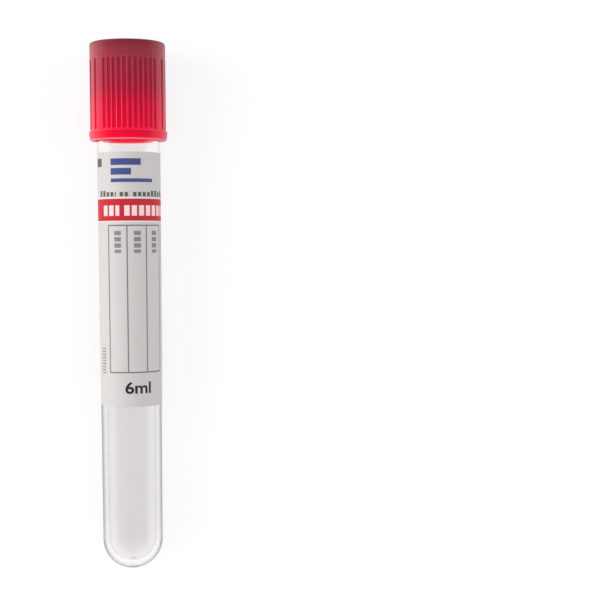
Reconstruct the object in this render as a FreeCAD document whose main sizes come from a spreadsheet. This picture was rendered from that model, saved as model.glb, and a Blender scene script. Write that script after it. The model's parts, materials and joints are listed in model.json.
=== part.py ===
# Evacuated blood collection tube: clear tube with a round end, rubber stopper, fluted cap and paper label.
# Each piece is drawn standing on the round end with its axis along Z. The whole then lies down on its side,
# with the cap towards +Y and the label's face up, resting on the round end and on the cap's collar.
import FreeCAD, Part
import math
import os

import Sketcher
from FreeCAD import Placement, Rotation, Vector

# Driving dimensions in millimetres, degrees or plain counts. Heights run from the round end towards the cap.
drivingDimensions = [
    ("tubeLength", 100.0, "round end to rim"),
    ("tubeDiameter", 13.0, "outside, at the rim"),
    ("tubeTaper", 0.7, "how much slimmer the tube is where the round end begins"),
    ("tubeWall", 1.1, "side wall"),
    ("tubeFloor", 1.4, "wall at the middle of the round end"),
    ("rimChamfer", 0.25, "broken edges of the rim, inside and outside"),
    ("gateDiameter", 1.8, "moulding gate mark under the round end"),
    ("gateDepth", 0.25, "depth of the gate mark"),
    ("capOverlap", 11.45, "how far the cap reaches down past the rim"),
    ("capTurn", 3.3, "middle of one group of flutes, turned from the front towards +X"),
    ("skirtGap", 0.35, "from the tube to the inside of the skirt"),
    ("skirtWall", 0.9, "wall of the skirt"),
    ("skirtLeadIn", 0.35, "chamfer inside the lower edge of the skirt"),
    ("collarStep", 0.3, "how far the collar stands out from the skirt"),
    ("collarFlare", 0.25, "how much slimmer the collar is at its lower edge"),
    ("collarTaperHeight", 1.5, "height of the collar's tapered face"),
    ("collarLand", 0.35, "height of the collar's widest band"),
    ("crownThickness", 1.2, "ring that closes the top of the cap"),
    ("crownChamfer", 0.5, "broken edge round the top of the cap"),
    ("wellDepth", 3.2, "from the top of the cap down to the stopper's head"),
    ("wellChamfer", 0.4, "lead-in at the well's mouth"),
    ("wellWall", 0.9, "wall of the ring round the needle well"),
    ("coreGap", 0.75, "open ring between the skirt and the well's wall"),
    ("wellSeatStep", 0.2, "how much tighter the well is round the stopper's head"),
    ("lipReach", 0.7, "how far the lip reaches in under the stopper's head"),
    ("lipThickness", 1.4, "height of the lip"),
    ("fluteGroups", 3, "groups of flutes round the cap, with one flute alone between two groups"),
    ("fluteCount", 11, "flutes in a group"),
    ("flutePitch", 8.0, "from flute to flute"),
    ("fluteWidth", 5.9, "angle that one flute takes"),
    ("fluteDepth", 0.25, "depth of a flute"),
    ("fluteFoot", 0.25, "from the collar up to the flutes"),
    ("fluteHead", 3.8, "plain band above the flutes"),
    ("guideCount", 4, "guide ribs inside the skirt"),
    ("guideWidth", 6.0, "angle that one guide rib takes"),
    ("guideGap", 0.06, "running clearance from the guide ribs to the tube"),
    ("guideFoot", 2.0, "from the skirt's lower edge up to the guide ribs"),
    ("guideSlope", 0.6, "height of the sloped end of a guide rib"),
    ("guideRoot", 0.3, "how far a guide rib runs into the skirt's wall"),
    ("plugDepth", 8.0, "how far the stopper goes into the tube"),
    ("plugGap", 0.04, "running clearance between the plug's end and the bore"),
    ("plugLeadIn", 0.5, "chamfer round the plug's end"),
    ("plugWall", 2.3, "rubber between the plug's side and its hollow"),
    ("flangeThickness", 2.0, "stopper's flange on the rim"),
    ("flangeGap", 0.5, "from the flange to the skirt"),
    ("flangeChamfer", 0.3, "broken edge on top of the flange"),
    ("neckGap", 0.05, "between the stopper's neck and the lip"),
    ("headHeight", 2.0, "stopper's head above the lip"),
    ("headGap", 0.1, "between the stopper's head and the well"),
    ("headChamfer", 0.5, "slope that lets the head snap through the lip"),
    ("membraneThickness", 4.2, "rubber that the needle goes through"),
    ("dimpleDiameter", 4.4, "target dimple in the head"),
    ("dimpleDepth", 0.8, "depth of the dimple"),
    ("dimpleSlope", 1.2, "how far the dimple's side slopes in"),
    ("labelGap", 2.55, "from the cap's lower edge down to the label"),
    ("labelLength", 51.85, "label along the tube"),
    ("labelWidth", 20.6, "label round the tube"),
    ("labelThickness", 0.08, "paper"),
    ("labelGlue", 0.02, "adhesive under the paper"),
    ("labelCorner", 1.4, "radius of the label's corners"),
    ("labelTurn", 13.5, "label's middle, turned from the front towards +X"),
]


tolerance = 1e-4  # within this, a found edge is the wanted one


class Size:
    """A size known both as a number and as the expression that drives it."""

    def __init__(self, text, value):
        self.text = text
        self.value = value

    def joined(self, sign, other, value):
        return Size(f"({self.text} {sign} {sized(other).text})", value)

    def __add__(self, other):
        return self.joined("+", other, self.value + sized(other).value)

    def __sub__(self, other):
        return self.joined("-", other, self.value - sized(other).value)

    def __mul__(self, other):
        return self.joined("*", other, self.value * sized(other).value)

    def __truediv__(self, other):
        return self.joined("/", other, self.value / sized(other).value)


def sized(number):
    return number if isinstance(number, Size) else Size(str(number), number)


class Sizes:
    """The driving dimensions, read from the sheet by name."""

    def __init__(self, sheet):
        self.sheet = sheet

    def __getattr__(self, name):
        return Size(f"{self.sheet.Name}.{name}", float(self.sheet.get(name)))


def write_sheet(doc):
    sheet = doc.addObject("Spreadsheet::Sheet", "Sizes")
    for row, (name, value, note) in enumerate(drivingDimensions, 1):
        sheet.set(f"A{row}", name)
        sheet.set(f"B{row}", str(value))
        sheet.set(f"C{row}", note)
        sheet.setAlias(f"B{row}", name)
    doc.recompute()
    return sheet


# ---- helpers for bodies and sketches


def new_body(doc, label):
    body = doc.addObject("PartDesign::Body", label)
    body.Label = label
    return body


def new_sketch(body, name, role, turn=0):
    """A sketch on one of the body's own planes; turn swings it round the body's axis, in degrees."""
    sketch = body.newObject("Sketcher::SketchObject", name)
    plane = next(p for p in body.Origin.OriginFeatures if p.Role == role)
    sketch.AttachmentSupport = [(plane, "")]
    sketch.MapMode = "FlatFace"
    if turn:
        sketch.setExpression("AttachmentOffset.Rotation.Angle", sized(turn).text)
        sketch.AttachmentOffset = Placement(Vector(), Rotation(Vector(0, 1, 0), sized(turn).value))
    return sketch


def bind(item, name, size):
    item.setExpression(name, sized(size).text)


def pin_point(sketch, edge, end, across, along):
    """Drives a point's distance from the axis (across) and its height (along)."""
    for kind, axis, size in (("DistanceX", -2, sized(across)), ("DistanceY", -1, sized(along))):
        if size.text == "0":
            sketch.addConstraint(Sketcher.Constraint("PointOnObject", edge, end, axis))
        else:
            index = sketch.addConstraint(Sketcher.Constraint(kind, -1, 1, edge, end, size.value))
            bind(sketch, f"Constraints[{index}]", size)


def dome_arc(here, there):
    """The arc between two points whose centre is on the axis, and which of its ends is the first point."""
    middle = (there.x**2 + there.y**2 - here.x**2 - here.y**2) / (2 * (there.y - here.y))
    centre = Vector(0, middle, 0)
    circle = Part.Circle(centre, Vector(0, 0, 1), here.distanceToPoint(centre))
    forward = (here - centre).cross(there - centre).z > 0
    first, last = (here, there) if forward else (there, here)
    angles = [math.atan2(p.y - middle, p.x) for p in (first, last)]
    return Part.ArcOfCircle(circle, *angles), (1, 2) if forward else (2, 1)


def draw_outline(sketch, corners, domes=()):
    """A closed outline through corners of (across, along). From each corner numbered in domes, the edge to
    the next is an arc centred on the axis; every other edge is straight."""
    points = [Vector(sized(a).value, sized(b).value, 0) for a, b in corners]
    ends = []
    for i, here in enumerate(points):
        there = points[(i + 1) % len(points)]
        if i in domes:
            arc, order = dome_arc(here, there)
            edge = sketch.addGeometry(arc, False)
            sketch.addConstraint(Sketcher.Constraint("PointOnObject", edge, 3, -2))
        else:
            edge, order = sketch.addGeometry(Part.LineSegment(here, there), False), (1, 2)
        ends.append((edge, order))
    for i, (edge, order) in enumerate(ends):
        after, after_order = ends[(i + 1) % len(ends)]
        sketch.addConstraint(Sketcher.Constraint("Coincident", edge, order[1], after, after_order[0]))
        pin_point(sketch, edge, order[0], *corners[i])


def turned(body, kind, name, sketch, angle=360, midplane=False):
    """Revolution adds and Groove cuts the sketch swung about the body's axis."""
    feature = body.newObject(f"PartDesign::{kind}", name)
    feature.Profile = sketch
    feature.ReferenceAxis = (sketch, ["V_Axis"])
    bind(feature, "Angle", angle)
    feature.Midplane = midplane
    return feature


def polar(body, name, count, angle=None, spacing=None):
    """A pattern about the body's axis: count copies in the angle, or with the spacing between them."""
    pattern = body.newObject("PartDesign::PolarPattern", name)
    axis = next(a for a in body.Origin.OriginFeatures if a.Role == "Z_Axis")
    pattern.Axis = (axis, [""])
    pattern.Mode = "Extent" if spacing is None else "Spacing"
    if spacing is None:
        bind(pattern, "Angle", angle)
    else:
        bind(pattern, "Offset", spacing)
    bind(pattern, "Occurrences", count)
    return pattern


def rings(feature, height, *radii):
    """Names of the feature's full circular edges at a height and with one of the radii."""
    found = []
    for number, edge in enumerate(feature.Shape.Edges, 1):
        if edge.Degenerated or not isinstance(edge.Curve, Part.Circle):
            continue
        circle = edge.Curve
        level = abs(circle.Center.z - height.value) < tolerance
        if level and any(abs(circle.Radius - radius.value) < tolerance for radius in radii):
            found.append(f"Edge{number}")
    return found


def broken_edges(body, name, base, edges, size):
    """A Chamfer on the edges that the given function picks from the base feature."""
    body.Document.recompute()
    chamfer = body.newObject("PartDesign::Chamfer", name)
    chamfer.Base = (base, edges(base))
    bind(chamfer, "Size", size)
    body.Document.recompute()
    return chamfer


# ---- sizes that several pieces share


def end_radius(s):
    """Outside radius of the round end."""
    return (s.tubeDiameter - s.tubeTaper) / 2


def wall_slope(s):
    """How much the tube's radius grows per millimetre along it."""
    return s.tubeTaper / 2 / (s.tubeLength - end_radius(s))


def tube_radius(s, height):
    """Outside radius of the tapered wall at a height."""
    return s.tubeDiameter / 2 - (s.tubeLength - height) * wall_slope(s)


def skirt_bore(s):
    return s.tubeDiameter / 2 + s.skirtGap


def skirt_radius(s):
    return skirt_bore(s) + s.skirtWall


def collar_radius(s):
    return skirt_radius(s) + s.collarStep


def well_radius(s):
    return skirt_bore(s) - s.coreGap - s.wellWall


def seat_radius(s):
    return well_radius(s) - s.wellSeatStep


def lip_radius(s):
    return seat_radius(s) - s.lipReach


def flute_group(s):
    """Angle from the first to the last flute of a group."""
    return (s.fluteCount - 1) * s.flutePitch


def cap_base(s):
    return s.tubeLength - s.capOverlap


def lip_bottom(s):
    return s.tubeLength + s.flangeThickness


def lip_top(s):
    return lip_bottom(s) + s.lipThickness


def head_top(s):
    return lip_top(s) + s.headHeight


def cap_top(s):
    return head_top(s) + s.wellDepth


# ---- the pieces


def make_tube(doc, s):
    """Clear tube: one moulding with a tapered wall, a round end and a gate mark under it."""
    body = new_body(doc, "tube")
    outer_end, mouth = end_radius(s), s.tubeDiameter / 2
    inner_end = outer_end - s.tubeWall
    section = new_sketch(body, "tube_section", "XZ_Plane")
    draw_outline(
        section,
        [
            (0, 0),
            (outer_end, outer_end),
            (mouth, s.tubeLength),
            (mouth - s.tubeWall, s.tubeLength),
            (inner_end, inner_end + s.tubeFloor),
            (0, s.tubeFloor),
        ],
        domes=(0, 4),
    )
    wall = turned(body, "Revolution", "tube_wall", section)
    rim = broken_edges(
        body, "tube_rim", wall, lambda f: rings(f, s.tubeLength, mouth, mouth - s.tubeWall), s.rimChamfer
    )

    gate = new_sketch(body, "gate_outline", "XY_Plane")
    circle = gate.addGeometry(Part.Circle(Vector(), Vector(0, 0, 1), s.gateDiameter.value / 2), False)
    gate.addConstraint(Sketcher.Constraint("Coincident", circle, 3, -1, 1))
    across = gate.addConstraint(Sketcher.Constraint("Diameter", circle, s.gateDiameter.value))
    bind(gate, f"Constraints[{across}]", s.gateDiameter)
    mark = body.newObject("PartDesign::Pocket", "gate_mark")
    mark.Profile = gate
    mark.Reversed = True
    bind(mark, "Length", s.gateDepth)
    doc.recompute()
    assert mark.Shape.Volume < rim.Shape.Volume, "the gate mark cuts nothing"
    return body


def make_cap(doc, s):
    """Moulded cap: fluted skirt with a collar, and a ring inside whose lip holds the stopper."""
    body = new_body(doc, "cap")
    base, top = cap_base(s), cap_top(s)
    bore, skirt, collar = skirt_bore(s), skirt_radius(s), collar_radius(s)
    collar_top = base + s.collarTaperHeight + s.collarLand
    ring = well_radius(s) + s.wellWall
    section = new_sketch(body, "cap_section", "XZ_Plane")
    draw_outline(
        section,
        [
            (bore + s.skirtLeadIn, base),
            (collar - s.collarFlare, base),
            (collar, base + s.collarTaperHeight),
            (collar, collar_top),
            (skirt, collar_top),
            (skirt, top),
            (well_radius(s), top),
            (well_radius(s), head_top(s)),
            (seat_radius(s), head_top(s)),
            (seat_radius(s), lip_top(s)),
            (lip_radius(s), lip_top(s)),
            (lip_radius(s), lip_bottom(s)),
            (ring, lip_bottom(s)),
            (ring, top - s.crownThickness),
            (bore, top - s.crownThickness),
            (bore, base + s.skirtLeadIn),
        ],
    )
    shell = turned(body, "Revolution", "cap_shell", section)
    crown = broken_edges(body, "crown_edge", shell, lambda f: rings(f, top, skirt), s.crownChamfer)
    mouth = broken_edges(body, "well_mouth", crown, lambda f: rings(f, top, well_radius(s)), s.wellChamfer)

    # guide ribs inside the skirt, which centre the cap on the tube
    guide = new_sketch(body, "guide_section", "XZ_Plane")
    inner = s.tubeDiameter / 2 + s.guideGap
    root = bore + s.guideRoot
    foot = base + s.guideFoot
    draw_outline(
        guide,
        [
            (root, foot),
            (bore, foot),
            (inner, foot + s.guideSlope),
            (inner, s.tubeLength - s.guideSlope),
            (bore, s.tubeLength),
            (root, s.tubeLength),
        ],
    )
    rib = turned(body, "Revolution", "guide_rib", guide, s.guideWidth, midplane=True)
    doc.recompute()
    ribs = polar(body, "guide_ribs", s.guideCount, angle=360)
    ribs.Originals = [rib]
    body.Tip = ribs
    doc.recompute()
    assert ribs.Shape.Volume > mouth.Shape.Volume, "the guide ribs add nothing"

    # groups of flutes, with a single flute in the plain stretch between two groups
    for name, turn in (("flute", 0), ("lone_flute", flute_group(s) / 2 + sized(180) / s.fluteGroups)):
        before = body.Tip.Shape.Volume
        cut = new_sketch(body, f"{name}_section", "XZ_Plane", turn)
        floor, outside = skirt - s.fluteDepth, skirt + s.fluteDepth
        low, high = collar_top + s.fluteFoot, top - s.fluteHead
        run_out = high + (outside - floor)
        draw_outline(cut, [(floor, low), (outside, low), (outside, run_out), (floor, high)])
        flute = turned(body, "Groove", name, cut, s.fluteWidth, midplane=True)
        doc.recompute()
        if name == "flute":
            pattern = body.newObject("PartDesign::MultiTransform", "flutes")
            pattern.Originals = [flute]
            pattern.Transformations = [
                polar(body, "flutes_in_group", s.fluteCount, spacing=s.flutePitch),
                polar(body, "flute_groups", s.fluteGroups, angle=360),
            ]
        else:
            pattern = polar(body, "lone_flutes", s.fluteGroups, angle=360)
            pattern.Originals = [flute]
        body.Tip = pattern
        doc.recompute()
        assert pattern.Shape.Volume < before, f"the {name} pattern cuts nothing"
    return body


def make_stopper(doc, s):
    """Rubber stopper: hollow plug in the bore, flange on the rim, neck in the cap's lip and dimpled head."""
    body = new_body(doc, "stopper")
    plug_end = s.tubeLength - s.plugDepth
    plug = tube_radius(s, plug_end) - s.tubeWall - s.plugGap
    cavity = plug - s.plugWall
    neck = lip_radius(s) - s.neckGap
    head = seat_radius(s) - s.headGap
    flange = skirt_bore(s) - s.flangeGap
    roof = head_top(s) - s.dimpleDepth - s.membraneThickness
    section = new_sketch(body, "stopper_section", "XZ_Plane")
    draw_outline(
        section,
        [
            (cavity, plug_end),
            (plug - s.plugLeadIn / 2, plug_end),
            (plug, plug_end + s.plugLeadIn),
            (plug, s.tubeLength),
            (flange, s.tubeLength),
            (flange, lip_bottom(s)),
            (neck, lip_bottom(s)),
            (neck, lip_top(s)),
            (head, lip_top(s)),
            (head, head_top(s)),
            (s.dimpleDiameter / 2, head_top(s)),
            (s.dimpleDiameter / 2 - s.dimpleSlope, head_top(s) - s.dimpleDepth),
            (0, head_top(s) - s.dimpleDepth),
            (0, roof),
            (cavity, roof),
        ],
    )
    rubber = turned(body, "Revolution", "stopper_rubber", section)
    top, under = head_top(s), lip_bottom(s)
    edged = broken_edges(body, "flange_edge", rubber, lambda f: rings(f, under, flange), s.flangeChamfer)
    broken_edges(body, "head_edge", edged, lambda f: rings(f, top, head), s.headChamfer)
    return body


def make_label(doc, s):
    """Paper label glued to the tapered wall, a little more than half way round, with rounded corners."""
    body = new_body(doc, "label")
    high = cap_base(s) - s.labelGap
    low = high - s.labelLength
    face = s.labelGlue + s.labelThickness
    spare = s.labelCorner / 3

    def band(name, inside, outside, overrun=0):
        """A strip that follows the tapered wall between two distances from it."""
        ends = (low - overrun, high + overrun)
        corners = [(tube_radius(s, ends[0]) + gap, ends[0]) for gap in (inside, outside)]
        corners += [(tube_radius(s, ends[1]) + gap, ends[1]) for gap in (outside, inside)]
        sketch = new_sketch(body, name, "XZ_Plane")
        draw_outline(sketch, corners)
        return sketch

    # the blank is thick while its corners are rounded, then both faces are cut back to the paper
    middle = tube_radius(s, low + s.labelLength / 2) + face
    angle = s.labelWidth / middle * (180 / math.pi)
    section = band("blank_section", s.labelGlue - spare, face + spare)
    blank = turned(body, "Revolution", "label_blank", section, angle, midplane=True)
    thickness = (face + spare * 2).value

    def corners(feature):
        edges = enumerate(feature.Shape.Edges, 1)
        return [f"Edge{n}" for n, e in edges if isinstance(e.Curve, Part.Line) and e.Length < thickness]

    doc.recompute()
    rounded = body.newObject("PartDesign::Fillet", "label_corners")
    rounded.Base = (blank, corners(blank))
    bind(rounded, "Radius", s.labelCorner)
    doc.recompute()
    turned(body, "Groove", "front_face", band("front_section", face, face + spare * 2, spare))
    turned(body, "Groove", "glued_face", band("glued_section", s.labelGlue - spare * 2, s.labelGlue, spare))
    return body


# ---- laying the pieces down


def resting_lean(s):
    """Angle by which the axis rises towards the cap when the round end and the collar touch the floor."""
    end = end_radius(s)
    along = (cap_base(s) + s.collarTaperHeight - end).value
    up = collar_radius(s).value
    return math.degrees(math.atan2(up, along) - math.asin(end.value / math.hypot(up, along)))


def lay_down(bodies, turns, lean):
    """Turns each body about its own axis, lays all of them down and puts the origin under their middle."""
    down = Rotation(Vector(1, 0, 0), lean - 90)
    for body in bodies:
        body.Placement = Placement(Vector(), down * Rotation(Vector(0, 0, 1), turns[body.Label]))
    box = Part.makeCompound([body.Shape for body in bodies]).optimalBoundingBox(False)
    shift = Vector(-box.Center.x, -box.Center.y, -box.ZMin)
    for body in bodies:
        body.Placement = Placement(shift, body.Placement.Rotation)


def check(doc, bodies):
    doc.recompute()
    for item in doc.Objects:
        assert not {"Invalid", "Error"} & set(item.State), f"{item.Label} failed: {item.State}"
    for body in bodies:
        assert not body.Shape.isNull() and body.Shape.isValid(), f"{body.Label} has no valid shape"
        assert len(body.Shape.Solids) == 1, f"{body.Label} is not one solid"


def main():
    os.makedirs("parts", exist_ok=True)
    doc = FreeCAD.newDocument("blood_collection_tube")
    s = Sizes(write_sheet(doc))
    bodies = [make_tube(doc, s), make_cap(doc, s), make_stopper(doc, s), make_label(doc, s)]
    check(doc, bodies)

    # features start at +X, a quarter turn from the front
    turns = {
        "tube": 0,
        "stopper": 0,
        "cap": s.capTurn.value - 90 - flute_group(s).value / 2,
        "label": s.labelTurn.value - 90,
    }
    lean = resting_lean(s)
    lay_down(bodies, turns, lean)
    check(doc, bodies)
    for body in bodies:
        body.Shape.exportStep(f"parts/{body.Label}.step")
        print(f"{body.Label}: {body.Shape.Volume:.2f} mm3, {body.Shape.BoundBox}")
    print(f"the axis rises {lean:.4f} degrees towards the cap")


main()
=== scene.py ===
import json
from math import asin, ceil, cos, degrees, radians, sin, sqrt

import bmesh
import bpy
from mathutils import Matrix, Vector


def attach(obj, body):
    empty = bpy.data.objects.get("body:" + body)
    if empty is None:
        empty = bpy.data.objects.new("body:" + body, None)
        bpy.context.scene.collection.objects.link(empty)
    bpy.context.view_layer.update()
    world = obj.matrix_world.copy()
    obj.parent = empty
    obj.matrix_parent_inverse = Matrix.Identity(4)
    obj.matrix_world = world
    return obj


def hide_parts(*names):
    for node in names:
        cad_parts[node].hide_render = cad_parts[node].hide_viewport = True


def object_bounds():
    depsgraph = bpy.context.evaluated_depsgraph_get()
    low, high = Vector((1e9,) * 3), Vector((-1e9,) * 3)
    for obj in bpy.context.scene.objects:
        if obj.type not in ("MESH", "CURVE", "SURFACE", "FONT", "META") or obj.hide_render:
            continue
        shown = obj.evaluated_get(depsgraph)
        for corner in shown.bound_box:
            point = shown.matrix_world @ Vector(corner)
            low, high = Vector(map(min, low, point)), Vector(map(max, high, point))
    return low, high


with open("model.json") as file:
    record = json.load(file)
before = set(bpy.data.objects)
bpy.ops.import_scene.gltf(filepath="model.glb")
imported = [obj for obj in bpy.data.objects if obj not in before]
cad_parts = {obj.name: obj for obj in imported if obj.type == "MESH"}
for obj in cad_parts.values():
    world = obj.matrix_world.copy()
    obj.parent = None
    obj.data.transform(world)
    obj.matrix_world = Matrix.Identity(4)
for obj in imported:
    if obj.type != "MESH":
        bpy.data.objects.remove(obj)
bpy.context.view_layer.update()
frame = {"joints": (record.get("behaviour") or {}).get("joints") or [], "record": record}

# Blood collection tube lying on its round end and collar, with its label up.
# Pieces are drawn upright in millimetres: z runs from the round end to the cap, and angles go
# from the front to the right. laid() then turns each mesh into the frame.

mm = 0.001
mounts = {m["name"]: m for m in frame["record"]["mounts"]}
axis = Vector(frame["joints"][0]["axis"]).normalized()
side = Vector((1, 0, 0))
wellMiddle = 106.8  # the needle well's middle, up the axis from the round end
slack = 0.001       # radii that differ by less are the same
upright = Matrix((side, axis.cross(side), axis)).transposed().to_4x4()
upright.translation = Vector(mounts["needle_well"]["pos_m"]) - axis * wellMiddle * mm


class Wire:
    # an output socket that works in sums with other wires and plain numbers
    def __init__(self, recipe, socket):
        self.recipe = recipe
        self.socket = socket

    def __add__(self, other):
        return self.recipe.maths("ADD", self, other)

    def __radd__(self, other):
        return self.recipe.maths("ADD", other, self)

    def __sub__(self, other):
        return self.recipe.maths("SUBTRACT", self, other)

    def __rsub__(self, other):
        return self.recipe.maths("SUBTRACT", other, self)

    def __mul__(self, other):
        return self.recipe.maths("MULTIPLY", self, other)

    def __rmul__(self, other):
        return self.recipe.maths("MULTIPLY", other, self)

    def __truediv__(self, other):
        return self.recipe.maths("DIVIDE", self, other)

    def __rtruediv__(self, other):
        return self.recipe.maths("DIVIDE", other, self)

    def __mod__(self, other):
        return self.recipe.maths("FLOORED_MODULO", self, other)

    def __rmod__(self, other):
        return self.recipe.maths("FLOORED_MODULO", other, self)

    def __or__(self, other):  # the larger of two masks
        return self.recipe.maths("MAXIMUM", self, other)

    def __ror__(self, other):
        return self.recipe.maths("MAXIMUM", other, self)

    def __and__(self, other):  # the smaller of two masks
        return self.recipe.maths("MINIMUM", self, other)

    def __rand__(self, other):
        return self.recipe.maths("MINIMUM", other, self)

    def over(self, low, high, kind="LINEAR"):
        # 0 up to low, 1 from high on
        ends = {"Value": self, "From Min": low, "From Max": high}
        return self.recipe.add("MapRange", {"interpolation_type": kind}, ends)

    def within(self, low, high, blur):
        # 1 between low and high, with ends that are blurred by this much either way
        return self.over(low - blur, low + blur) & (1 - self.over(high - blur, high + blur))


class Recipe:
    # the nodes of one material or world
    def __init__(self, holder):
        holder.use_nodes = True
        self.holder = holder
        self.tree = holder.node_tree
        self.tree.nodes.clear()

    def add(self, kind, settings=None, sockets=None, out=0):
        # one node; stops are a ramp's places and colours, and out picks the output
        node = self.tree.nodes.new("ShaderNode" + kind)
        for key, value in (settings or {}).items():
            if key == "stops":
                ramp = node.color_ramp.elements
                while len(ramp) < len(value):
                    ramp.new(1)
                for stop, (place, colour) in zip(ramp, value):
                    stop.position = place
                    stop.color = colour
            else:
                setattr(node, key, value)
        for key, value in (sockets or {}).items():
            if isinstance(value, Wire):
                self.tree.links.new(value.socket, node.inputs[key])
            else:
                node.inputs[key].default_value = value
        return Wire(self, node.outputs[out]) if node.outputs else None

    def maths(self, operation, *values):
        return self.add("Math", {"operation": operation}, dict(enumerate(values)))

    def blend(self, share, first, second):
        # the first colour where share is 0, the second where it is 1
        return self.add("Mix", {"data_type": "RGBA"}, {0: share, 6: first, 7: second}, 2)

    def place(self):
        # upright millimetres
        back = upright.inverted()
        return self.add("Mapping", None, {
            "Vector": self.add("TexCoord", None, None, "Object"),
            "Location": back.translation / mm,
            "Rotation": back.to_euler(),
            "Scale": (1 / mm, 1 / mm, 1 / mm),
        })

    def parts(self, vector):
        split = self.add("SeparateXYZ", None, {0: vector}).socket.node
        return [Wire(self, output) for output in split.outputs]

    def noise(self, size, detail=2, roughness=0.5, stretch=(1, 1, 1)):
        # size in millimetres
        spot = self.add("VectorMath", {"operation": "MULTIPLY"}, {0: self.place(), 1: stretch})
        grain = {"Vector": spot, "Scale": 1 / size, "Detail": detail, "Roughness": roughness}
        return self.add("TexNoise", None, grain)

    def edgeOn(self):
        # 0 where the surface faces the eye, 1 where it is seen along
        return self.add("LayerWeight", None, {"Blend": 0.5}, "Facing")

    def bump(self, height, depth, strength):
        # depth in millimetres
        sockets = {"Height": height, "Distance": depth * mm, "Strength": strength}
        return self.add("Bump", None, sockets)

    def finish(self, shader, kind="OutputMaterial"):
        self.add(kind, None, {"Surface": shader})
        return self.holder


def material(name):
    return Recipe(bpy.data.materials.new(name))


def shown(red, green, blue):
    # a colour as a screen shows it, 0 to 255
    parts = [v / 255 for v in (red, green, blue)]
    return tuple(v / 12.92 if v <= 0.04045 else ((v + 0.055) / 1.055) ** 2.4 for v in parts) + (1,)


def rounded(corners):
    # corners are (radius, height) or (radius, height, rounding); a rounding becomes a tangent arc
    points = []
    for i, corner in enumerate(corners):
        here = Vector(corner[:2])
        rounding = corner[2] if len(corner) > 2 else 0
        if not rounding:
            points.append(tuple(corner[:2]))
            continue
        before = (Vector(corners[i - 1][:2]) - here).normalized()
        after = (Vector(corners[(i + 1) % len(corners)][:2]) - here).normalized()
        half = before.angle(after) / 2
        centre = here + (before + after).normalized() * rounding / sin(half)
        reach = rounding / sin(half) * cos(half)
        first = here + before * reach - centre
        last = here + after * reach - centre
        turn = first.angle(last)
        steps = max(2, ceil(degrees(turn) / 15))  # each turns 15 degrees at most
        for k in range(steps + 1):
            share = k / steps
            swung = (first * sin((1 - share) * turn) + last * sin(share * turn)) / sin(turn)
            points.append(tuple(centre + swung))
    return points


def arc(centre, radius, start, end, steps):
    # points of an arc round a place on the axis; angles from straight down
    for k in range(steps + 1):
        a = radians(start + (end - start) * k / steps)
        yield radius * sin(a), centre - radius * cos(a)


def ringed(points, radius, heights):
    # extra points on the straight run at this radius
    result = []
    for i, here in enumerate(points):
        result.append(here)
        after = points[(i + 1) % len(points)]
        if max(abs(here[0] - radius), abs(after[0] - radius)) < slack:
            low, high = sorted((here[1], after[1]))
            inside = sorted((h for h in heights if low < h < high), reverse=after[1] < here[1])
            result += [(radius, h) for h in inside]
    return result


def turned(name, points, angles, closed=False, shape=None):
    # an outline swung round the axis; shape(angle, radius, height) may change its radius
    verts, rings = [], []
    for radius, height in points:
        if radius < 1e-6:
            rings.append([len(verts)] * len(angles))
            verts.append((0, 0, height))
            continue
        rings.append(list(range(len(verts), len(verts) + len(angles))))
        for a in angles:
            r = shape(a, radius, height) if shape else radius
            verts.append((r * sin(radians(a)), -r * cos(radians(a)), height))
    faces = []
    for low, high in zip(rings, rings[1:] + rings[:1] if closed else rings[1:]):
        for j in range(len(angles)):
            k = (j + 1) % len(angles)
            faces.append(list(dict.fromkeys((low[j], low[k], high[k], high[j]))))
    mesh = bpy.data.meshes.new(name)
    mesh.from_pydata(verts, [], faces)
    return mesh


def laid(mesh, finish, body, slot, *nodes):
    # turns an upright mesh into the frame and makes it a piece
    mesh.transform(upright @ Matrix.Scale(mm, 4))
    mesh.materials.append(finish)
    mesh.shade_smooth()
    piece = bpy.data.objects.new(mesh.name, mesh)
    bpy.context.scene.collection.objects.link(piece)
    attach(piece, body)
    if nodes:
        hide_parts(*nodes)
    print(piece.name, "made,", len(mesh.polygons), "faces")
    return piece


def sharpened(piece, angle):
    # edges that turn by more than this are drawn sharp
    piece.data.set_sharp_from_angle(angle=radians(angle))


def crisp(piece):
    # flat and straight faces stay so beside their narrow roundings
    sharpened(piece, 60)
    even = piece.modifiers.new("even_normals", "WEIGHTED_NORMAL")
    even.keep_sharp = True


def around(count):
    return [360 * k / count for k in range(count)]


tube = {
    "length": 100.0,
    "mouth": 6.5,                                    # outside radius at the rim
    "end": 6.15,                                     # outside radius of the round end
    "wall": 1.1,
    "floor": 1.4,
    "rim": 0.25,
    "gate": 0.9, "gateDepth": 0.25,                  # radius and depth of the moulding's gate mark
    "segments": 256,                                 # faces round it
    "endSteps": (28, 26),                            # faces up its end, outside and inside
    "firstRing": 12.0, "lastRing": 4.0, "rings": 8,  # the straight wall's; the last is below the rim
    "colour": shown(249, 247, 248),
    "paintedLightColour": shown(255, 255, 255),
    "paintedLightHeights": (60, 88), "shadeCutShare": 0.8,         # heights over which painted light whitens it towards its mouth, and how much its painted shade fades there
    "edge": shown(50, 56, 72),                       # painted shade: the colour a skin is darkened towards where it is seen along
    "turns": (0.48, 0.82),                           # how far a skin turns away as the painted shade darkens it
    "softTurns": (0.1, 0.4), "softShare": 0.16,      # a weaker painted shade, which starts sooner
    "softHeights": (3, 12),                          # and fades out into the round end
    "insideShare": 0.35,                             # how much painted shade the inside has beside the outside
    "shade": (0.76, 0.76, 0.765, 1),                 # what each skin lets through of a lamp's light
    "paintedGlow": shown(112, 115, 118),                    # painted glow at the rim, standing in for light that the wall leads up to it
    "paintedGlowDepths": (0.5, 0.2),                        # below the rim: where it starts and is full
    "ior": 1.57,
}


def tubeRadius(height):
    slope = (tube["mouth"] - tube["end"]) / (tube["length"] - tube["end"])
    return tube["mouth"] - (tube["length"] - height) * slope


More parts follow.
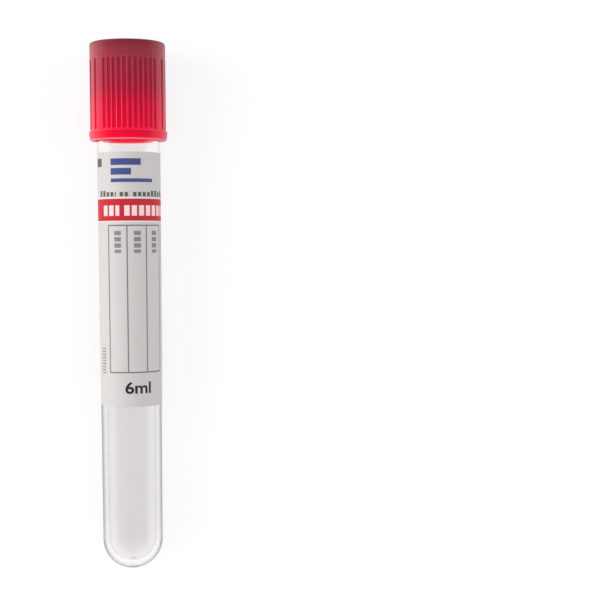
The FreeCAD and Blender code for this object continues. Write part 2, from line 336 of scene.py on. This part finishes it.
def clearPlastic():
    t = tube
    mat = material("clear_plastic")
    x, y, z = mat.parts(mat.place())
    below = z - t["end"] & 0
    radius = mat.maths("SQRT", x * x + y * y + below * below)
    outside = radius.over(t["end"] - t["wall"] / 2, t["end"] - t["wall"] / 4)
    # painted shade: the clear plastic is darkened where it is seen along
    away = mat.edgeOn()
    weakerPaintedShade = away.over(*t["softTurns"]) * z.over(*t["softHeights"]) * t["softShare"]
    # painted light: towards its mouth the plastic turns whiter and its painted shade fades
    paintedLightMask = z.over(*t["paintedLightHeights"])
    along = (away.over(*t["turns"]) + weakerPaintedShade) * (1 - paintedLightMask * t["shadeCutShare"])
    along = along * (outside * (1 - t["insideShare"]) + t["insideShare"])
    colour = mat.blend(paintedLightMask, t["colour"], t["paintedLightColour"])
    # painted glow round the rim
    start, full = [t["length"] - depth for depth in t["paintedGlowDepths"]]
    clear = mat.add("BsdfPrincipled", None, {
        "Base Color": mat.blend(along, colour, t["edge"]),
        "Roughness": 0.01,
        "IOR": t["ior"],
        "Transmission Weight": 1.0,
        "Emission Color": mat.blend(z.over(start, full), (0, 0, 0, 1), t["paintedGlow"]),
        "Emission Strength": 1.0,
    })
    # lamps and light from the floor go straight through
    for ray in ("Is Diffuse Ray", "Is Shadow Ray"):
        through = mat.add("BsdfTransparent", None, {"Color": t["shade"]})
        path = mat.add("LightPath", None, None, ray)
        clear = mat.add("MixShader", None, {0: path, 1: clear, 2: through})
    return mat.finish(clear)


def makeTube():
    t = tube
    inner = t["end"] - t["wall"]
    low, high = t["firstRing"], t["length"] - t["lastRing"]
    heights = [low + (high - low) * k / (t["rings"] - 1) for k in range(t["rings"])]
    gateEdge = degrees(asin(t["gate"] / t["end"]))
    outSteps, inSteps = t["endSteps"]
    points = rounded([(0, t["gateDepth"]), (t["gate"], t["gateDepth"], 0.06), (t["gate"], 0)])[:-1]
    points += arc(t["end"], t["end"], gateEdge, 90, outSteps)
    points += [(tubeRadius(h), h) for h in heights]
    points += rounded([
        (tubeRadius(high), high),
        (t["mouth"], t["length"], t["rim"]),
        (t["mouth"] - t["wall"], t["length"], t["rim"]),
        (tubeRadius(high) - t["wall"], high),
    ])[1:-1]
    points += [(tubeRadius(h) - t["wall"], h) for h in reversed(heights)]
    points += arc(inner + t["floor"], inner, 90, 0, inSteps)
    mesh = turned("clear_tube", points, around(t["segments"]))
    crisp(laid(mesh, clearPlastic(), "tube", "clear_plastic", "tube"))


cap = {
    "base": 88.55, "top": 108.6,
    "bore": 6.85, "skirt": 7.75, "collar": 8.05,
    "leadIn": 0.35, "flare": 0.25, "slope": 1.5, "land": 0.35,
    "well": 5.2, "seat": 5.0, "lip": 4.3, "ring": 6.1, "crown": 1.2,
    "lipLow": 102.0, "lipHigh": 103.4, "seatHigh": 105.4,
    "segments": 240,                                 # faces round it, were there no flutes
    "turn": 3.3,                                     # where the middle of a group of flutes points
    "groups": 3, "flutes": 11, "pitch": 8.0,
    "fluteLow": 90.65, "fluteHigh": 104.8, "fluteDepth": 0.25,
    "fluteWidth": 5.9, "fluteEdge": 0.9,             # degrees; the sides slope by the edge either way
    "runIn": (-0.08, 0.14), "runOut": (-0.05, 0.3),  # soft ends, from fluteLow and from fluteHigh
    "ribs": 4, "ribLow": 90.55, "ribHigh": 100.0, "ribReach": 0.29,
    "ribWidth": 6.0, "ribEdge": 0.6,                 # degrees, as above
    "ribSlope": 0.6,                                 # height over which a rib's end rises
    "grainSize": 0.22, "cloudSize": 1.6,             # the finish's fine and broad texture
    # colours up the skirt, darker and greyer towards the top: painted shade where the stopper sits
    # behind the clear red, a greyer painted reflection near the top, and a painted highlight along
    # the bottom edge
    "redsWithPaintedLight": [
        (0.0, shown(255, 150, 160)),
        (0.014, shown(250, 2, 52)),
        (0.1, shown(243, 2, 55)),
        (0.18, shown(233, 2, 57)),
        (0.26, shown(228, 3, 58)),
        (0.34, shown(220, 6, 58)),
        (0.42, shown(204, 12, 56)),
        (0.5, shown(183, 24, 55)),
        (0.57, shown(171, 29, 57)),
        (0.72, shown(164, 37, 60)),
        (0.8, shown(155, 42, 60)),
        (0.83, shown(155, 52, 66)),
        (0.9, shown(152, 52, 64)),
        (0.95, shown(136, 46, 57)),
        (1.0, shown(132, 46, 57)),
    ],
    "paintedRimShade": shown(84, 26, 38),                    # painted shade round the top's outer edge
    "ridge": shown(255, 96, 120),                    # what these three go towards, and how far: painted highlights on the lands and over the flutes, and a random cloudy tone
    "landShare": 0.08, "browShare": 0.06, "cloudShare": 0.01,
    "paintedSheen": shown(255, 176, 184),                    # painted sheen where the skirt turns away
    "paintedSheenTurns": (0.15, 0.7), "paintedSheenShare": 0.24,
    "flank": (0.205, 0.045), "flankBlur": 0.025,     # depths between which a flute's own side lies
    "flankShare": 0.6,                               # how much less painted sheen it has
    "paintedGlow": shown(214, 30, 52),                      # painted glow on the inside, standing in for light that comes through
}


def fluteAngles():
    spread = (cap["flutes"] - 1) / 2
    for g in range(cap["groups"]):
        middle = cap["turn"] + g * 360 / cap["groups"]
        for i in range(cap["flutes"]):
            yield middle + (i - spread) * cap["pitch"]
        yield middle + 180 / cap["groups"]  # a lone one between two groups


def ribAngles():
    first = cap["turn"] - (cap["flutes"] - 1) / 2 * cap["pitch"]
    return [first + k * 360 / cap["ribs"] for k in range(cap["ribs"])]


def soft(value, low, high):
    t = min(1, max(0, (value - low) / (high - low)))
    return t * t * (3 - 2 * t)


def nearest(angle, centres):
    return min(abs((angle - c + 180) % 360 - 180) for c in centres)


def makeCap():
    c = cap
    collarTop = c["base"] + c["slope"] + c["land"]
    points = rounded([
        (c["bore"] + c["leadIn"], c["base"], 0.06),
        (c["collar"] - c["flare"], c["base"], 0.25),
        (c["collar"], c["base"] + c["slope"], 0.4),
        (c["collar"], collarTop, 0.16),
        (c["skirt"], collarTop, 0.08),
        (c["skirt"], c["top"], 0.5),
        (c["well"], c["top"], 0.4),
        (c["well"], c["seatHigh"], 0.05),
        (c["seat"], c["seatHigh"], 0.05),
        (c["seat"], c["lipHigh"], 0.1),
        (c["lip"], c["lipHigh"], 0.2),
        (c["lip"], c["lipLow"], 0.2),
        (c["ring"], c["lipLow"], 0.15),
        (c["ring"], c["top"] - c["crown"], 0.1),
        (c["bore"], c["top"] - c["crown"], 0.2),
        (c["bore"], c["base"] + c["leadIn"], 0.1),
    ])
    # rings of points stand closer together where flutes and ribs run out
    low, high = c["fluteLow"], c["fluteHigh"]
    fluteRings = [low + d for d in (-0.08, 0, 0.06, 0.14, 0.3)]
    fluteRings += [low + (high - low) * k / 8 for k in range(1, 8)]
    fluteRings += [high + d for d in (-0.2, -0.05, 0.04, 0.12, 0.2, 0.3)]
    ribRings = [c["ribLow"] + c["ribSlope"] * k for k in (0, 0.5, 1)]
    ribRings += [c["ribHigh"] - c["ribSlope"] * k for k in (1, 0.5, 0)]
    points = ringed(ringed(points, c["skirt"], fluteRings), c["bore"], ribRings)

    flutes, ribs = list(fluteAngles()), ribAngles()
    half, edge = c["fluteWidth"] / 2, c["fluteEdge"]
    ribHalf, ribEdge = c["ribWidth"] / 2, c["ribEdge"]
    fluteSteps = [0, half / 2] + [half + edge * k for k in (-1, -0.6, -0.25, 0.25, 0.6, 1)]
    ribSteps = [0] + [ribHalf + ribEdge * k for k in (-1, -1 / 3, 1 / 3, 1)]
    wanted = {(f + s * d) % 360 for f in flutes for s in (-1, 1) for d in fluteSteps}
    wanted |= {(f + s * d) % 360 for f in ribs for s in (-1, 1) for d in ribSteps}
    wanted |= {a for a in around(c["segments"]) if nearest(a, flutes) > half + 1}
    angles = []
    for a in sorted(wanted):
        if not angles or a - angles[-1] > 0.04:  # closer ones are left out
            angles.append(a)
    carved = {a: 1 - soft(nearest(a, flutes), half - edge, half + edge) for a in angles}
    raised = {a: 1 - soft(nearest(a, ribs), ribHalf - ribEdge, ribHalf + ribEdge) for a in angles}
    runIn, runOut = [low + d for d in c["runIn"]], [high + d for d in c["runOut"]]
    ribIn = c["ribLow"], c["ribLow"] + c["ribSlope"]
    ribOut = c["ribHigh"] - c["ribSlope"], c["ribHigh"]

    def shape(a, radius, height):
        if abs(radius - c["skirt"]) < slack:
            along = soft(height, *runIn) * (1 - soft(height, *runOut))
            return radius - c["fluteDepth"] * along * carved[a]
        if abs(radius - c["bore"]) < slack:
            along = soft(height, *ribIn) * (1 - soft(height, *ribOut))
            return radius - c["ribReach"] * along * raised[a]
        return radius

    mesh = turned("red_cap", points, angles, True, shape)
    crisp(laid(mesh, redPlastic(), "closure", "red_plastic", "cap"))


def redPlastic():
    c = cap
    mat = material("red_plastic")
    x, y, z = mat.parts(mat.place())
    radius = mat.maths("SQRT", x * x + y * y)
    # painted light and shade up the skirt, from the ramp of reds
    red = mat.add("ValToRGB", {"stops": c["redsWithPaintedLight"]}, {0: z.over(c["base"], c["top"])})
    grain = mat.noise(c["grainSize"], 3, 0.6)
    cloud = mat.noise(c["cloudSize"], 2, 0.5)
    low, high, top, skirt = c["fluteLow"], c["fluteHigh"], c["top"], c["skirt"]
    # painted highlights where the lands between the flutes, and a line over them, catch a little more
    # light
    land = radius.over(skirt - c["fluteDepth"] * 0.8, skirt - 0.02, "SMOOTHSTEP")
    land = land & z.over(low - 0.3, low) & (1 - z.over(high, high + 0.6))
    brow = z.within(high + 0.2, high + 0.4, 0.1)
    red = mat.blend(land * c["landShare"], red, c["ridge"])
    red = mat.blend(brow * c["browShare"], red, c["ridge"])
    red = mat.blend(cloud.over(0.35, 0.75) * c["cloudShare"], red, c["ridge"])
    # painted shade round the top's outer edge
    paintedShoulderShade = z.over(top - 0.35, top - 0.1) & radius.over(skirt - 0.5, skirt - 0.3)
    red = mat.blend(paintedShoulderShade, red, c["paintedRimShade"])
    # painted pale sheen where the skirt turns away, less on the flutes' own sides
    deep, shallow = c["flank"]
    flank = radius.within(skirt - deep, skirt - shallow, c["flankBlur"])
    paintedSheen = mat.edgeOn().over(*c["paintedSheenTurns"]) * c["paintedSheenShare"]
    red = mat.blend(paintedSheen * (1 - flank * c["flankShare"]), red, c["paintedSheen"])
    # painted glow on the skirt's inside, near its mouth
    inside = (1 - radius.over(c["bore"] + 0.3, c["bore"] + 0.5)) & (1 - z.over(low, low + 4))
    body = mat.add("BsdfPrincipled", None, {
        "Base Color": red,
        "Roughness": grain * 0.14 + 0.3,
        "Specular IOR Level": 0.06,
        "Sheen Weight": 0.8,
        "Sheen Roughness": 0.36,
        "Sheen Tint": (1, 0.6, 0.65, 1),
        "Emission Color": mat.blend(inside, (0, 0, 0, 1), c["paintedGlow"]),
        "Emission Strength": 1.0,
        "Normal": mat.bump(grain, 0.008, 0.6),
    })
    return mat.finish(body)


stopper = {
    "low": 92.0, "rim": 100.0, "plug": 5.33, "cavity": 3.03, "roof": 100.4,
    "flange": 6.35, "neck": 4.25, "head": 4.9,
    "dimple": 2.2, "dimpleDepth": 0.8, "dimpleSlope": 1.2,
    "segments": 144,
    "colour": shown(122, 44, 42),
    "cloud": shown(98, 32, 34), "cloudSize": 1.0,
    "speck": shown(160, 92, 88), "speckSize": 0.09,
}


def stopperRubber():
    s = stopper
    mat = material("stopper_rubber")
    cloud = mat.noise(s["cloudSize"], 3, 0.6)
    speck = mat.noise(s["speckSize"], 2, 0.5)
    colour = mat.blend(cloud.over(0.3, 0.7) * 0.4, s["colour"], s["cloud"])
    colour = mat.blend(speck.over(0.6, 0.75) * 0.3, colour, s["speck"])
    body = mat.add("BsdfPrincipled", None, {
        "Base Color": colour,
        "Roughness": speck * 0.2 + 0.52,
        "Specular IOR Level": 0.4,
        "Normal": mat.bump(speck, 0.012, 0.7),
    })
    return mat.finish(body)


def makeStopper():
    s, c = stopper, cap
    points = rounded([
        (0, s["roof"]),
        (s["cavity"], s["roof"], 0.5),
        (s["cavity"], s["low"], 0.25),
        (s["plug"], s["low"], 0.3),
        (s["plug"], s["rim"], 0.15),
        (s["flange"], s["rim"], 0.1),
        (s["flange"], c["lipLow"], 0.3),
        (s["neck"], c["lipLow"], 0.1),
        (s["neck"], c["lipHigh"], 0.1),
        (s["head"], c["lipHigh"], 0.1),
        (s["head"], c["seatHigh"], 0.5),
        (s["dimple"], c["seatHigh"], 0.25),
        (s["dimple"] - s["dimpleSlope"], c["seatHigh"] - s["dimpleDepth"], 0.5),
        (0, c["seatHigh"] - s["dimpleDepth"]),
    ])
    mesh = turned("rubber_stopper", points, around(s["segments"]))
    crisp(laid(mesh, stopperRubber(), "closure", "stopper_rubber", "stopper"))


label = {
    "low": 34.15, "high": 86.0, "width": 20.6, "turn": 13.5,
    "paper": 0.08, "glue": 0.02, "corner": 1.4,
    "across": 120, "along": 40,                      # faces round it and up its straight sides
    "level": 60,                                     # height where distances round it are taken
    "crease": 40,                                    # edges that turn by more degrees are sharp
    "stock": shown(214, 210, 208),
    "cloud": shown(207, 204, 203), "cloudSize": 1.4,
    "fibreSize": 0.16, "fibreStretch": (1, 1, 0.35),
    "paintedGlow": shown(140, 139, 137),                    # painted glow on its back, standing in for light that comes through
    "ink": shown(44, 42, 44),
    "line": shown(122, 118, 117),
    "red": shown(203, 39, 53),
    "paleRed": shown(255, 225, 225),
    "pale": shown(250, 240, 240),
    "blue": shown(30, 58, 140),
    "bleed": 0.05,                                   # how softly ink ends
    "tall": 0.35,                                    # share of the letter blocks that are taller
    # the print: heights up the tube, and places round it in degrees from the front
    "grid": (41.2, 71.1), "firstColumn": -40.7, "columnPitch": 36.1, "columns": 3, "stroke": 0.26,
    "heads": (65.5, 70.35), "headMiddle": 0.52, "headHalf": 0.72, "headPitch": 1.26, "headGap": 0.36,
    "band": (72.03, 76.5), "hairline": 0.25,
    "bigPrint": (73.05, 75.15, 1.5, 0.42),           # low, high, pitch, gap
    "bigWords": ((-52, -18), (-9, 82)),
    "print": (76.95, 78.15, 1.0, 0.28, 0.3),         # the same, and how much shorter some are
    "words": ((-62, -24), (-17, 1), (7, 84)),
    "mark": (-74.6, -56.6, 83.05, 84.75),            # left, right, low, high
    "bars": ((-34, 22, 83.3, 84.65), (-34, 4, 81.35, 82.7), (-34, 46, 79.85, 80.6)),
    "fine": (-64, -52, 40.9, 46.2), "finePitch": 0.62, "fineGap": 0.3,
    "column": (78, 101, 42.0, 70.5), "linePitch": 1.05, "lineGap": 0.6,
    "letterPitch": 0.6, "letterGap": 0.16,
}


def arcLength(angle):
    # distance round the label's face from the front
    return radians(angle) * (tubeRadius(label["level"]) + label["glue"] + label["paper"])


class Print:
    # masks for simple shapes on the label: u runs round the tube, v up it
    def __init__(self, mat):
        x, y, self.v = mat.parts(mat.place())
        self.mat = mat
        self.u = mat.maths("ARCTAN2", x, y * -1) * arcLength(degrees(1))
        # height above the tube's outside
        wall = tubeRadius(0) + self.v * (tubeRadius(1) - tubeRadius(0))
        self.lift = mat.maths("SQRT", x * x + y * y) - wall

    def strip(self, along, low, high):
        return along.within(low, high, label["bleed"])

    def box(self, left, right, low, high):
        return self.strip(self.u, left, right) & self.strip(self.v, low, high)

    def patch(self, left, right, low, high):
        # a box between two angles
        return self.box(arcLength(left), arcLength(right), low, high)

    def beats(self, along, start, pitch, gap):
        # blocks with a gap after each
        return self.strip((along - start) % pitch, 0, pitch - gap)

    def letters(self, ends, low, high, pitch, gap, short=0):
        # a row of plain blocks in place of letters; some of them are shorter
        left, right = [arcLength(a) for a in ends]
        cell = self.mat.maths("FLOOR", (self.u - left) / pitch)
        chance = self.mat.add("TexWhiteNoise", {"noise_dimensions": "1D"}, {"W": cell + left})
        spare = high - self.v - chance.over(label["tall"], label["tall"] + 0.01) * short
        row = self.strip(self.u, left, right) & self.beats(self.u, left, pitch, gap)
        bleed = label["bleed"]
        return row & self.v.over(low - bleed, low + bleed) & spare.over(-bleed, bleed)


def joined(masks):
    whole = None
    for mask in masks:
        whole = mask if whole is None else whole | mask
    return whole


def labelPaper():
    p = label
    mat = material("label_paper")
    page = Print(mat)
    cloud = mat.noise(p["cloudSize"], 3, 0.6)
    fibre = mat.noise(p["fibreSize"], 3, 0.7, p["fibreStretch"])
    colour = mat.blend(cloud.over(0.3, 0.7) * 0.25, p["stock"], p["cloud"])

    # write-in grid
    low, high = p["grid"]
    w = p["stroke"] / 2
    places = [arcLength(p["firstColumn"] + k * p["columnPitch"]) for k in range(p["columns"] + 1)]
    lines = [page.box(u - w, u + w, low, high) for u in places]
    lines += [page.box(places[0] - w, places[-1] + w, v - w, v + w) for v in p["grid"]]
    colour = mat.blend(joined(lines), colour, p["line"])

    # colour band between two pale hairlines, with blocks in place of words
    low, high = p["band"]
    pale = page.strip(page.v, low - p["hairline"], high + p["hairline"])
    colour = mat.blend(pale * 0.7, colour, p["pale"])
    colour = mat.blend(page.strip(page.v, low, high), colour, p["red"])
    words = [page.letters(ends, *p["bigPrint"]) for ends in p["bigWords"]]
    colour = mat.blend(joined(words), colour, p["paleRed"])

    # dark print: one line of words, the register mark and column heads
    words = [page.letters(ends, *p["print"]) for ends in p["words"]]
    colour = mat.blend(joined(words + [page.patch(*p["mark"])]) * 0.85, colour, p["ink"])
    low, high = p["heads"]
    rows = page.beats(page.v, high, p["headPitch"], p["headGap"])
    heads = []
    for k in range(p["columns"]):
        middle = arcLength(p["firstColumn"] + (k + p["headMiddle"]) * p["columnPitch"])
        heads.append(page.box(middle - p["headHalf"], middle + p["headHalf"], low, high) & rows)
    colour = mat.blend(joined(heads) * 0.62, colour, p["ink"])

    # plain blue bars as the heading
    bars = [page.patch(*bar) for bar in p["bars"]]
    colour = mat.blend(joined(bars) * 0.92, colour, p["blue"])

    # small print up the left side and near the right edge
    lines = page.beats(page.v, p["fine"][2], p["finePitch"], p["fineGap"])
    fine = page.patch(*p["fine"]) & lines
    left, right, low, high = p["column"]
    lines = page.beats(page.v, low, p["linePitch"], p["lineGap"])
    letters = page.beats(page.u, arcLength(left), p["letterPitch"], p["letterGap"])
    column = page.patch(left, right, low, high) & lines & letters
    colour = mat.blend(joined([fine, column]) * 0.55, colour, p["ink"])

    # all but the printed front shows the plain stock, and the back has a painted glow
    quarter = p["paper"] / 4
    front = page.lift.over(p["glue"] + quarter, p["glue"] + 3 * quarter)
    body = mat.add("BsdfPrincipled", None, {
        "Base Color": mat.blend(front, p["stock"], colour),
        "Roughness": cloud * 0.14 + 0.42,
        "Specular IOR Level": 0.3,
        "Emission Color": mat.blend(front, p["paintedGlow"], (0, 0, 0, 1)),
        "Emission Strength": 1.0,
        "Normal": mat.bump(fibre, 0.006, 0.5),
    })
    return mat.finish(body)


def makeLabel():
    p = label
    across, along = p["across"], p["along"]
    low, high, corner = p["low"], p["high"], p["corner"]
    bends = [corner * (1 - cos(radians(a))) for a in range(0, 90, 15)]
    straight = [low + corner + (high - low - 2 * corner) * k / along for k in range(along + 1)]
    heights = [low + b for b in bends] + straight + [high - b for b in reversed(bends)]
    verts = []
    for lift in (p["glue"], p["glue"] + p["paper"]):
        for h in heights:
            inset = corner - min(corner, h - low, high - h)
            half = p["width"] / 2 - corner + sqrt(max(0, corner * corner - inset * inset))
            for j in range(across + 1):
                a = (arcLength(p["turn"]) + half * (2 * j / across - 1)) / arcLength(degrees(1))
                r = tubeRadius(h) + lift
                verts.append((r * sin(a), -r * cos(a), h))
    end, top = across, len(heights) - 1

    def at(skin, i, j):
        # skin 0 is the glued back, 1 the printed front
        return (skin * (top + 1) + i) * (across + 1) + j

    faces = []
    for i in range(top):
        for j in range(across):
            faces.append((at(0, i, j), at(0, i + 1, j), at(0, i + 1, j + 1), at(0, i, j + 1)))
            faces.append((at(1, i, j), at(1, i, j + 1), at(1, i + 1, j + 1), at(1, i + 1, j)))
        faces.append((at(0, i, 0), at(1, i, 0), at(1, i + 1, 0), at(0, i + 1, 0)))
        faces.append((at(0, i, end), at(0, i + 1, end), at(1, i + 1, end), at(1, i, end)))
    for j in range(across):
        faces.append((at(0, 0, j), at(0, 0, j + 1), at(1, 0, j + 1), at(1, 0, j)))
        faces.append((at(0, top, j), at(1, top, j), at(1, top, j + 1), at(0, top, j + 1)))
    mesh = bpy.data.meshes.new("paper_label")
    mesh.from_pydata(verts, [], faces)
    sharpened(laid(mesh, labelPaper(), "tube", "label_paper", "label"), p["crease"])


volume = {
    "text": "6ml",
    "left": -10.9, "right": 38.3,                    # degrees from the front
    "low": 36.85, "high": 39.3,
    "bold": 0.02,
    "thickness": 0.012, "under": 0.002,              # from the paper to the ink's face and underside
    "slice": 0.2,                                    # width of the strips it is cut into to bend
    "ink": shown(30, 28, 28),
    "speck": shown(44, 42, 42), "speckSize": 0.12,
}


def volumeInk():
    mat = material("label_ink")
    speck = mat.noise(volume["speckSize"], 2, 0.5)
    body = mat.add("BsdfPrincipled", None, {
        "Base Color": mat.blend(speck, volume["ink"], volume["speck"]),
        "Roughness": speck * 0.2 + 0.35,
    })
    return mat.finish(body)


def makeVolume():
    # the built-in font's outline, cut into narrow slices and wrapped round the label
    v = volume
    curve = bpy.data.curves.new("volume", "FONT")
    curve.body = v["text"]
    curve.offset = v["bold"]
    flat = bpy.data.objects.new("volume", curve)
    bpy.context.scene.collection.objects.link(flat)
    graph = bpy.context.evaluated_depsgraph_get()
    mesh = bpy.data.meshes.new_from_object(flat.evaluated_get(graph))
    bpy.data.objects.remove(flat)
    mesh.name = "label_volume"
    places = [corner.co for corner in mesh.vertices]
    start, end = min(p.x for p in places), max(p.x for p in places)
    foot, head = min(p.y for p in places), max(p.y for p in places)
    left, right = arcLength(v["left"]), arcLength(v["right"])
    for p in places:
        p.x = left + (p.x - start) / (end - start) * (right - left)
        p.y = v["low"] + (p.y - foot) / (head - foot) * (v["high"] - v["low"])
    work = bmesh.new()
    work.from_mesh(mesh)
    for k in range(1, ceil((right - left) / v["slice"])):
        cut = (left + k * v["slice"], 0, 0)
        whole = work.verts[:] + work.edges[:] + work.faces[:]
        bmesh.ops.bisect_plane(work, geom=whole, plane_co=cut, plane_no=(1, 0, 0))
    top = bmesh.ops.extrude_face_region(work, geom=work.faces[:])["geom"]
    raised = {e for e in top if isinstance(e, bmesh.types.BMVert)}
    for vert in work.verts:
        lift = v["thickness"] if vert in raised else v["under"]
        a, h = vert.co.x / arcLength(degrees(1)), vert.co.y
        r = tubeRadius(h) + label["glue"] + label["paper"] + lift
        vert.co = (r * sin(a), -r * cos(a), h)
    bmesh.ops.recalc_face_normals(work, faces=work.faces[:])
    work.to_mesh(mesh)
    work.free()
    mesh.materials.clear()
    sharpened(laid(mesh, volumeInk(), "tube", "label_paper"), label["crease"])


studio = {
    "size": 6.0,
    "floor": (0.28, 0.28, 0.28, 1),
    "lift": 0.78, "farLift": 1.0,                    # what the floor adds, so that it looks white
    "near": 0.2, "far": 0.9,                         # metres where the lift starts and stops growing
    "left": 1.04, "right": 1.0, "ceiling": 0.12,     # brightness of the room's walls and ceiling
    "wallTop": 8, "ceilingEdge": 26,                 # degrees above the floor
    "lamps": {
        "top": {"place": (0, 0, 1.3), "size": 1.6, "power": 6.5},
        "key": {"place": (-1.0, 0, 0.5), "size": 1.0, "power": 11.0},
        "fill": {"place": (1.0, 0, 0.5), "size": 1.0, "power": 5.6},
    },
}
camera = {
    "distance": 300.0, "height": 66.5,               # from the tube's axis, and up it
    "turn": 6.73, "dip": 2.12, "roll": -0.441,       # degrees
    "lens": 86.33,
}


def seen(mat):
    # 1 for rays that end in the picture: direct, mirrored or through clear plastic
    kinds = ("Is Camera Ray", "Is Glossy Ray", "Is Transmission Ray")
    return joined([mat.add("LightPath", None, None, kind) for kind in kinds])


def makeFloor():
    half = studio["size"] / 2
    mesh = bpy.data.meshes.new("floor")
    corners = [(-half, -half, 0), (half, -half, 0), (half, half, 0), (-half, half, 0)]
    mesh.from_pydata(corners, [], [(0, 1, 2, 3)])
    floor = bpy.data.objects.new("floor", mesh)
    bpy.context.scene.collection.objects.link(floor)
    mat = material("floor")
    paint = mat.add("BsdfDiffuse", None, {"Color": studio["floor"]})
    x, y, z = mat.parts(mat.add("TexCoord", None, None, "Object"))
    away = mat.maths("SQRT", x * x + y * y).over(studio["near"], studio["far"], "SMOOTHSTEP")
    level = studio["lift"] + away * (studio["farLift"] - studio["lift"])
    lift = mat.add("Emission", None, {"Strength": seen(mat) * level})
    mesh.materials.append(mat.finish(mat.add("AddShader", None, {0: paint, 1: lift})))


def makeRoom():
    # white walls under a dim ceiling
    s = studio
    room = Recipe(bpy.data.worlds.new("room"))
    bpy.context.scene.world = room.holder
    right, back, up = room.parts(room.add("TexCoord", None, None, "Generated"))
    walls = s["left"] + right.over(-1, 1) * (s["right"] - s["left"])
    high = up.over(sin(radians(s["wallTop"])), sin(radians(s["ceilingEdge"])), "SMOOTHSTEP")
    strength = walls * (1 - high) + s["ceiling"] * high
    paint = room.add("Background", None, {"Color": (1, 1, 1, 1), "Strength": strength})
    room.finish(paint, "OutputWorld")


def makeLamp(name, spec, target):
    data = bpy.data.lights.new(name, "AREA")
    data.size = spec["size"]
    data.energy = spec["power"]
    lamp = bpy.data.objects.new(name, data)
    bpy.context.scene.collection.objects.link(lamp)
    lamp.location = spec["place"]
    lamp.rotation_euler = (target - lamp.location).to_track_quat("-Z", "Y").to_euler()
    lamp.visible_camera = lamp.visible_glossy = lamp.visible_transmission = False


def makeCamera():
    c = camera
    data = bpy.data.cameras.new("camera")
    data.lens = c["lens"]
    data.clip_start = 0.01
    eye = bpy.data.objects.new("camera", data)
    bpy.context.scene.collection.objects.link(eye)
    eye.matrix_world = (
        upright
        @ Matrix.Translation((0, -c["distance"] * mm, c["height"] * mm))
        @ Matrix.Rotation(radians(-c["turn"]), 4, "Z")
        @ Matrix.Rotation(radians(90 - c["dip"]), 4, "X")
        @ Matrix.Rotation(radians(c["roll"]), 4, "Z")
    )
    bpy.context.scene.camera = eye


def makeStudio():
    low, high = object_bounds()
    makeFloor()
    makeRoom()
    for name, spec in studio["lamps"].items():
        makeLamp(name, spec, (low + high) / 2)
    makeCamera()
    bpy.context.scene.view_settings.view_transform = "Standard"
    print("studio made")


makeTube()
makeCap()
makeStopper()
makeLabel()
makeVolume()
makeStudio()
